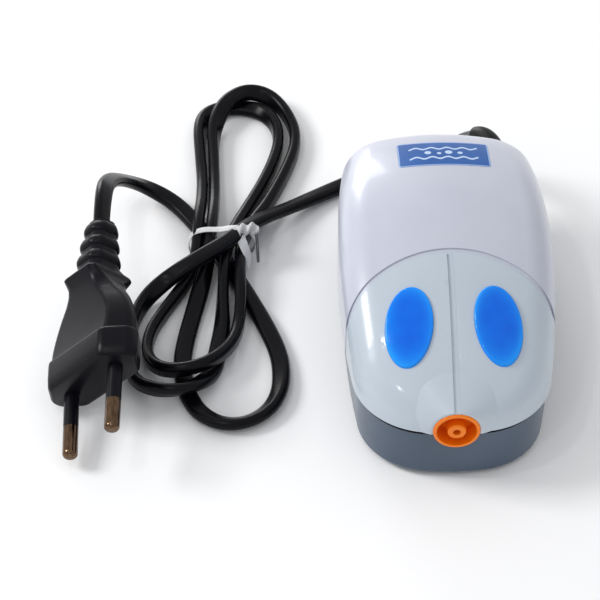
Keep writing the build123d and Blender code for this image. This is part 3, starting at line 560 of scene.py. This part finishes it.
# slot: colour, roughness and share of light let through
CLEAR = {
    "tie_clear": ((0.92, 0.93, 0.94), 0.35, 0.45),
    "hose_clear": ((0.80, 0.83, 0.82), 0.2, 0.6),
}
ONE_OF_A_KIND = {
    "pearl_plastic": pearl_cover,
    "slate_plastic": tub_slate,
    "blue_plastic": eye_blue,
    "label_blue": printed_label,
    "core_steel": laminated,
    "copper": wound_copper,
    "felt": felt,
}


def make_materials():
    """Every material by the name of its slot."""
    made = {slot: make() for slot, make in ONE_OF_A_KIND.items()}
    for make, looks in ((moulded, MOULDED), (brushed, BRUSHED), (clear, CLEAR)):
        for slot, look in looks.items():
            made[slot] = make(slot, *look)
    return made


MATERIALS = make_materials()


def dress_nodes():
    """Each CAD node takes the material of its slot in the record."""
    for part in frame["record"]["subparts"]:
        made = MATERIALS[part["material_slot"]]
        mesh = NODES[part["node"]].data
        mesh.materials.clear()
        mesh.materials.append(made)


# ---- building blocks ----------------------------------------------------------------------------
def smooth_line(points):
    """Points along one smooth open spline that has these control points."""
    curve = bpy.data.curves.new("line", "CURVE")
    curve.dimensions = "3D"
    spline = curve.splines.new("NURBS")
    spline.points.add(len(points) - 1)
    for control, place in zip(spline.points, points):
        control.co = (*place, 1)
    spline.order_u = 3
    spline.use_endpoint_u = True
    spline.resolution_u = 10
    holder = bpy.data.objects.new("line", curve)
    mesh = bpy.data.meshes.new_from_object(holder)
    line = [vertex.co.copy() for vertex in mesh.vertices]
    bpy.data.objects.remove(holder)
    bpy.data.curves.remove(curve)
    bpy.data.meshes.remove(mesh)
    return line


def rounded_profile(width, thickness, radius, steps=6):
    """Points round a rectangle with rounded corners, across its width and its thickness."""
    points = []
    for quarter, (sx, sy) in enumerate(((1, 1), (-1, 1), (-1, -1), (1, -1))):
        for step in range(steps + 1):
            angle = (quarter + step / steps) * pi / 2
            x = sx * (width / 2 - radius) + radius * cos(angle)
            y = sy * (thickness / 2 - radius) + radius * sin(angle)
            points.append((x, y))
    return points


def skin(mesh_data, rings):
    """Faces between rings of vertices, with a cap at each end."""
    rows = [[mesh_data.verts.new(place) for place in ring] for ring in rings]
    count = len(rows[0])
    for near, far in zip(rows, rows[1:]):
        for i in range(count):
            j = (i + 1) % count
            mesh_data.faces.new((near[i], near[j], far[j], far[i]))
    mesh_data.faces.new(list(reversed(rows[0])))
    mesh_data.faces.new(rows[-1])


def finished(name, mesh_data, slot, sharp=40):
    """A smooth-shaded piece that rides on the casing's body, with its normals facing out."""
    bmesh.ops.recalc_face_normals(mesh_data, faces=mesh_data.faces)
    mesh = bpy.data.meshes.new(name)
    mesh_data.to_mesh(mesh)
    mesh_data.free()
    mesh.materials.append(MATERIALS[slot])
    for face in mesh.polygons:
        face.use_smooth = True
    mesh.set_sharp_from_angle(angle=radians(sharp))
    piece = bpy.data.objects.new(name, mesh)
    COLLECTION.objects.link(piece)
    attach(piece, "root")
    return piece


def swept_rings(line, profile, rolls, across=None):
    """The profile's rings along a line. Its width lies level, or along across, turned by the roll."""
    rings = []
    for index, place in enumerate(line):
        ahead = line[min(index + 1, len(line) - 1)] - line[max(index - 1, 0)]
        tangent = ahead.normalized()
        level = tangent.cross(UP) if across is None else Vector(across)
        side = (level - tangent * level.dot(tangent)).normalized()
        lift = side.cross(tangent)
        turn = rolls[index]
        wide = side * cos(turn) + lift * sin(turn)
        thick = lift * cos(turn) - side * sin(turn)
        rings.append([place + wide * x + thick * y for x, y in profile])
    return rings


# ---- mains cord ---------------------------------------------------------------------------------
def make_cord():
    """The flat twin lead as one oval tube from the pump's boot to the plug's."""
    line = smooth_line([point[:3] for point in CORD_ROUTE])
    rolls = [place.x for place in smooth_line([(radians(p[3]), 0, 0) for p in CORD_ROUTE])]
    profile = rounded_profile(CORD_WIDTH, CORD_THICKNESS, CORD_THICKNESS / 2 - 0.00005)
    mesh_data = bmesh.new()
    skin(mesh_data, swept_rings(line, profile, rolls))
    return finished("mains_cord", mesh_data, "cord_black"), line


# ---- twist tie ----------------------------------------------------------------------------------
STRIP_THICKNESS = 0.0003
WIRE_SIZE = 0.0008
BAND_LINE = [
    (-0.0512, 0.0346, 0.0098),
    (-0.0535, 0.0345, 0.0116),
    (-0.0562, 0.0350, 0.0112),
    (-0.0595, 0.0362, 0.0094),
    (-0.0640, 0.0370, 0.0089),
    (-0.0672, 0.0368, 0.0076),
    (-0.0684, 0.0362, 0.0046),
    (-0.0678, 0.0358, 0.0012),
    (-0.0648, 0.0358, 0.0003),
    (-0.0580, 0.0360, 0.0003),
    (-0.0530, 0.0362, 0.0003),
    (-0.0502, 0.0358, 0.0015),
    (-0.0497, 0.0354, 0.0050),
    (-0.0502, 0.0349, 0.0080),
    (-0.0512, 0.0346, 0.0098),
]


KNOT_LINE = [
    (-0.0545, 0.0332, 0.0114),
    (-0.0522, 0.0340, 0.0119),
    (-0.0494, 0.0348, 0.0108),
]
TIE_TAIL_LINE = [
    (-0.0539, 0.0320, 0.0108),
    (-0.0527, 0.0292, 0.0092),
    (-0.0514, 0.0274, 0.0064),
    (-0.0516, 0.0271, 0.0034),
]
TIE_WIRE_LINE = [
    (-0.0498, 0.0348, 0.0107),
    (-0.0493, 0.0338, 0.0095),
    (-0.0491, 0.0308, 0.0067),
    (-0.0490, 0.0282, 0.0043),
]


def strip(mesh_data, points, width, thickness, across, turns=0.0):
    """A flat plastic strip along a line, twisted by a number of turns."""
    line = smooth_line(points)
    rolls = [2 * pi * turns * i / (len(line) - 1) for i in range(len(line))]
    profile = rounded_profile(width, thickness, thickness / 2.2, 3)
    skin(mesh_data, swept_rings(line, profile, rolls, across))


def make_tie():
    """The clear strip round the bundle, its twisted knot and flat tail."""
    mesh_data = bmesh.new()
    strip(mesh_data, BAND_LINE, 0.0019, STRIP_THICKNESS, (0, 1, 0))
    strip(mesh_data, KNOT_LINE, 0.0038, 0.0019, (0, 1, 0), 1.1)
    strip(mesh_data, TIE_TAIL_LINE, 0.0026, STRIP_THICKNESS, (0.8, 0.5, 0.2), 0.12)
    return finished("twist_tie_strip", mesh_data, "tie_clear", sharp=60)


def make_tie_wire():
    """The thin steel core that sticks out of the tie's short end."""
    mesh_data = bmesh.new()
    strip(mesh_data, TIE_WIRE_LINE, WIRE_SIZE, WIRE_SIZE, (1, 0, 0))
    return finished("tie_wire_end", mesh_data, "tie_wire", sharp=60)


# ---- plug ---------------------------------------------------------------------------------------
PLUG_PLACE = Vector((-0.0922, -0.0252, 0.0145))
PLUG_TURN = (
    Matrix.Rotation(radians(-1.1), 3, "Z")
    @ Matrix.Rotation(radians(10.8), 3, "X")
    @ Matrix.Rotation(radians(-49.2), 3, "Y")
)
BEND_START = 32
BEND = 0.0015

# distance behind the face, width, depth, and how far the corners are cut, in millimetres
FACE_BLOCK = [
    (0.0, 30.8, 11.4, 4.5),
    (0.25, 31.6, 12.3, 4.9),
    (0.9, 32.7, 13.3, 5.3),
    (3.5, 33.3, 13.6, 5.5),
    (7.6, 33.3, 13.6, 5.5),
    (8.3, 33.0, 13.3, 5.3),
    (8.7, 32.4, 12.6, 5.0),
    (8.9, 32.0, 11.6, 4.6),
]
GRIP = [
    (8.9, 32.0, 11.4, 4.5),
    (10.0, 31.9, 10.9, 4.3),
    (12.5, 31.7, 10.3, 4.1),
    (15.4, 30.4, 9.8, 3.9),
    (18.0, 28.4, 9.7, 3.8),
    (21.0, 25.2, 9.9, 3.7),
    (24.0, 20.6, 10.4, 3.4),
    (26.5, 16.8, 11.0, 2.9),
    (28.6, 14.2, 11.9, 2.2),
    (30.2, 13.2, 13.6, 1.5),
    (31.0, 13.0, 14.4, 1.2),
    (31.5, 12.6, 14.0, 1.2),
    (32.4, 11.2, 12.2, 1.5),
    (34.0, 9.8, 10.0, 1.9),
]
BOOT_CORE = [
    (34.0, 9.6, 9.8, 1.9),
    (40.0, 8.4, 8.6, 1.8),
    (46.0, 7.2, 7.4, 1.6),
    (49.5, 6.4, 6.6, 1.6),
]
# where each rib of the strain relief starts, and its width
RIBS = [(35.2, 10.4), (40.2, 9.6), (45.2, 8.6)]
# distance behind the rib's start, how much wider than its width, and how far the corners are cut
RIB_SHAPE = [
    (0.0, -1.6, 1.9),
    (0.25, -0.7, 2.1),
    (0.8, 0.0, 2.3),
    (1.6, 0.1, 2.3),
    (2.5, -0.3, 2.3),
    (3.1, -0.8, 2.1),
    (3.4, -1.6, 1.9),
]


def on_plug(x, y, z):
    """A point in the plug's own millimetres, with the boot bent a little towards the cord."""
    bend = BEND * max(0.0, y - BEND_START) ** 2
    return PLUG_PLACE + PLUG_TURN @ Vector((x, y, z)) * MM + Vector((bend * MM, 0, 0))


def oblong(width, depth, cut):
    """Points round an oblong with cut corners, each of its eight bends rounded off."""
    x, y = width / 2, depth / 2
    bends = []
    for side in (1, -1):
        bends += [(side * x, side * (cut - y)), (side * x, side * (y - cut))]
        bends += [(side * (x - cut), side * y), (side * (cut - x), side * y)]
    soft = min(0.45 * (depth - 2 * cut), 0.45 * cut, 1.6)
    points = []
    for index, bend in enumerate(bends):
        middle = Vector(bend)
        start = middle + (Vector(bends[index - 1]) - middle).normalized() * soft
        end = middle + (Vector(bends[(index + 1) % 8]) - middle).normalized() * soft
        for share in (0, 0.25, 0.5, 0.75, 1):
            points.append(start.lerp(middle, share).lerp(middle.lerp(end, share), share))
    return points


def plug_rings(sections):
    """Cross-sections of the plug, one ring of points each."""
    rings = []
    for y, width, depth, cut in sections:
        rings.append([on_plug(point.x, y, point.y) for point in oblong(width, depth, cut)])
    return rings


def make_plug():
    """The moulded plug body: face block, grip, flange and ribbed strain relief."""
    mesh_data = bmesh.new()
    for sections in (FACE_BLOCK, GRIP, BOOT_CORE):
        skin(mesh_data, plug_rings(sections))
    for start, width in RIBS:
        rib = [(start + back, width + wider, width + wider + 0.2, cut) for back, wider, cut in RIB_SHAPE]
        skin(mesh_data, plug_rings(rib))
    return finished("moulded_plug", mesh_data, "plug_black", sharp=35)


# ---- assembly -----------------------------------------------------------------------------------
make_camera()
cord, cord_line = make_cord()
tie = make_tie()
tie_wire = make_tie_wire()
plug = make_plug()
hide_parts("cord_lead", "cord_hank", "cord_tail")
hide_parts("twist_tie")
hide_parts("plug_body", "plug_boot")
dress_nodes()
make_studio()
